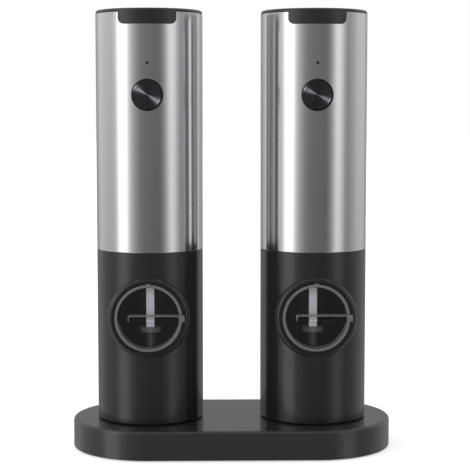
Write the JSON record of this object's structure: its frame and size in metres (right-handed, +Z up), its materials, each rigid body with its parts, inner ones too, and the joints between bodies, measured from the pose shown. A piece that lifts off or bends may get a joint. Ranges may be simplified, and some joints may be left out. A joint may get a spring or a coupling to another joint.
{
  "type": "electric salt and pepper mill set",
  "caption": "Electric salt and pepper mills with steel sleeves, clear refill windows, round buttons and a shared charging stand.",
  "frame": {"origin": "under the middle of the stand, on the surface that its feet rest on", "axes": "+Z up; +X from the left mill to the right mill as seen from the front; the windows and buttons face -Y"},
  "size_m": [0.1568, 0.0764, 0.214],
  "materials": {
    "stand_plastic": "satin moulded plastic, charcoal black",
    "body_plastic": "satin moulded plastic, charcoal black",
    "gloss_plastic": "glossy black plastic",
    "cap_plastic": "satin black plastic",
    "sleeve_steel": "satin stainless steel, brushed along its height",
    "button_metal": "black spun metal face",
    "clear_plastic": "clear moulded plastic",
    "inner_plastic": "moulded plastic, dark grey",
    "shaft_metal": "satin light grey metal",
    "gear_plastic": "acetal, off white",
    "ceramic": "off-white ceramic",
    "rubber": "soft black rubber",
    "seal": "translucent grey silicone",
    "motor_steel": "zinc-plated steel can",
    "cell_wrap": "blue shrink wrap",
    "board": "green circuit board",
    "screw_steel": "plated steel",
    "contact_metal": "gold-plated contact",
    "lens": "dark tinted lens"
  },
  "bodies": {
    "stand": {"stand_shell": "stand_plastic", "stand_plate": "inner_plastic", "rubber_feet": "rubber", "stand_screws": "screw_steel", "charging_board": "board", "charging_pins": "contact_metal", "usb_socket": "screw_steel"},
    "left_mill": {"left_steel_sleeve": "sleeve_steel", "left_top_cap": "cap_plastic", "left_inner_frame": "inner_plastic", "left_button_bezel": "gloss_plastic", "left_light_lens": "lens", "left_control_board": "board", "left_battery_cell": "cell_wrap", "left_motor": "motor_steel", "left_gearbox_case": "inner_plastic", "left_lower_body": "body_plastic", "left_window_frame": "gloss_plastic", "left_burr_housing": "inner_plastic", "left_burr_ring": "ceramic", "left_contact_pads": "contact_metal", "left_screws": "screw_steel"},
    "left_button": {"left_power_button": "button_metal"},
    "left_seal": {"left_cover_gasket": "seal"},
    "left_cover": {"left_refill_cover": "clear_plastic"},
    "left_drive": {"left_drive_shaft": "shaft_metal", "left_planet_carrier": "gear_plastic", "left_burr_rotor": "ceramic"},
    "left_pinion": {"left_motor_pinion": "gear_plastic"},
    "left_planet_a": {"left_planet_gear_a": "gear_plastic"},
    "left_planet_b": {"left_planet_gear_b": "gear_plastic"},
    "left_planet_c": {"left_planet_gear_c": "gear_plastic"},
    "left_knob": {"left_grind_knob": "inner_plastic"},
    "right_mill": {"right_steel_sleeve": "sleeve_steel", "right_top_cap": "cap_plastic", "right_inner_frame": "inner_plastic", "right_button_bezel": "gloss_plastic", "right_light_lens": "lens", "right_control_board": "board", "right_battery_cell": "cell_wrap", "right_motor": "motor_steel", "right_gearbox_case": "inner_plastic", "right_lower_body": "body_plastic", "right_window_frame": "gloss_plastic", "right_burr_housing": "inner_plastic", "right_burr_ring": "ceramic", "right_contact_pads": "contact_metal", "right_screws": "screw_steel"},
    "right_button": {"right_power_button": "button_metal"},
    "right_seal": {"right_cover_gasket": "seal"},
    "right_cover": {"right_refill_cover": "clear_plastic"},
    "right_drive": {"right_drive_shaft": "shaft_metal", "right_planet_carrier": "gear_plastic", "right_burr_rotor": "ceramic"},
    "right_pinion": {"right_motor_pinion": "gear_plastic"},
    "right_planet_a": {"right_planet_gear_a": "gear_plastic"},
    "right_planet_b": {"right_planet_gear_b": "gear_plastic"},
    "right_planet_c": {"right_planet_gear_c": "gear_plastic"},
    "right_knob": {"right_grind_knob": "inner_plastic"}
  },
  "joints": [
    {"name": "left_lift_off", "type": "slide", "parent": "stand", "child": "left_mill", "axis": [0, 0, 1], "range_m": [0, 0.22]},
    {"name": "left_button_press", "type": "slide", "parent": "left_mill", "child": "left_button", "axis": [0, 1, 0], "range_m": [0, 0.0008], "stiffness_N_per_m": 1500},
    {"name": "left_cover_pull", "type": "slide", "parent": "left_mill", "child": "left_seal", "axis": [0, -1, 0], "range_m": [0, 0.06]},
    {"name": "left_cover_turn", "type": "hinge", "parent": "left_seal", "child": "left_cover", "pos_m": [-0.0402, -0.0269, 0.0669], "axis": [0, -1, 0], "range_deg": [0, 90]},
    {"name": "left_drive_spin", "type": "hinge", "parent": "left_mill", "child": "left_drive", "pos_m": [-0.0402, 0, 0.1146], "axis": [0, 0, 1], "continuous": true},
    {"name": "left_pinion_spin", "type": "hinge", "parent": "left_mill", "child": "left_pinion", "pos_m": [-0.0402, 0, 0.1146], "axis": [0, 0, 1], "continuous": true},
    {"name": "left_planet_a_spin", "type": "hinge", "parent": "left_drive", "child": "left_planet_a", "pos_m": [-0.0402, 0.0084, 0.1146], "axis": [0, 0, 1], "continuous": true},
    {"name": "left_planet_b_spin", "type": "hinge", "parent": "left_drive", "child": "left_planet_b", "pos_m": [-0.04748, -0.0042, 0.1146], "axis": [0, 0, 1], "continuous": true},
    {"name": "left_planet_c_spin", "type": "hinge", "parent": "left_drive", "child": "left_planet_c", "pos_m": [-0.03293, -0.0042, 0.1146], "axis": [0, 0, 1], "continuous": true},
    {"name": "left_grind_setting", "type": "hinge", "parent": "left_mill", "child": "left_knob", "pos_m": [-0.0402, 0, 0.0196], "axis": [0, 0, 1], "range_deg": [-150, 150]},
    {"name": "right_lift_off", "type": "slide", "parent": "stand", "child": "right_mill", "axis": [0, 0, 1], "range_m": [0, 0.22]},
    {"name": "right_button_press", "type": "slide", "parent": "right_mill", "child": "right_button", "axis": [0, 1, 0], "range_m": [0, 0.0008], "stiffness_N_per_m": 1500},
    {"name": "right_cover_pull", "type": "slide", "parent": "right_mill", "child": "right_seal", "axis": [0, -1, 0], "range_m": [0, 0.06]},
    {"name": "right_cover_turn", "type": "hinge", "parent": "right_seal", "child": "right_cover", "pos_m": [0.0402, -0.0269, 0.0669], "axis": [0, -1, 0], "range_deg": [0, 90]},
    {"name": "right_drive_spin", "type": "hinge", "parent": "right_mill", "child": "right_drive", "pos_m": [0.0402, 0, 0.1146], "axis": [0, 0, 1], "continuous": true},
    {"name": "right_pinion_spin", "type": "hinge", "parent": "right_mill", "child": "right_pinion", "pos_m": [0.0402, 0, 0.1146], "axis": [0, 0, 1], "continuous": true},
    {"name": "right_planet_a_spin", "type": "hinge", "parent": "right_drive", "child": "right_planet_a", "pos_m": [0.0402, 0.0084, 0.1146], "axis": [0, 0, 1], "continuous": true},
    {"name": "right_planet_b_spin", "type": "hinge", "parent": "right_drive", "child": "right_planet_b", "pos_m": [0.03293, -0.0042, 0.1146], "axis": [0, 0, 1], "continuous": true},
    {"name": "right_planet_c_spin", "type": "hinge", "parent": "right_drive", "child": "right_planet_c", "pos_m": [0.04748, -0.0042, 0.1146], "axis": [0, 0, 1], "continuous": true},
    {"name": "right_grind_setting", "type": "hinge", "parent": "right_mill", "child": "right_knob", "pos_m": [0.0402, 0, 0.0196], "axis": [0, 0, 1], "range_deg": [-150, 150]}
  ],
  "couplings": [
    {"joint": "left_pinion_spin", "follows": "left_drive_spin", "ratio": 4},
    {"joint": "left_planet_a_spin", "follows": "left_drive_spin", "ratio": -3},
    {"joint": "left_planet_b_spin", "follows": "left_drive_spin", "ratio": -3},
    {"joint": "left_planet_c_spin", "follows": "left_drive_spin", "ratio": -3},
    {"joint": "right_pinion_spin", "follows": "right_drive_spin", "ratio": 4},
    {"joint": "right_planet_a_spin", "follows": "right_drive_spin", "ratio": -3},
    {"joint": "right_planet_b_spin", "follows": "right_drive_spin", "ratio": -3},
    {"joint": "right_planet_c_spin", "follows": "right_drive_spin", "ratio": -3}
  ]
}
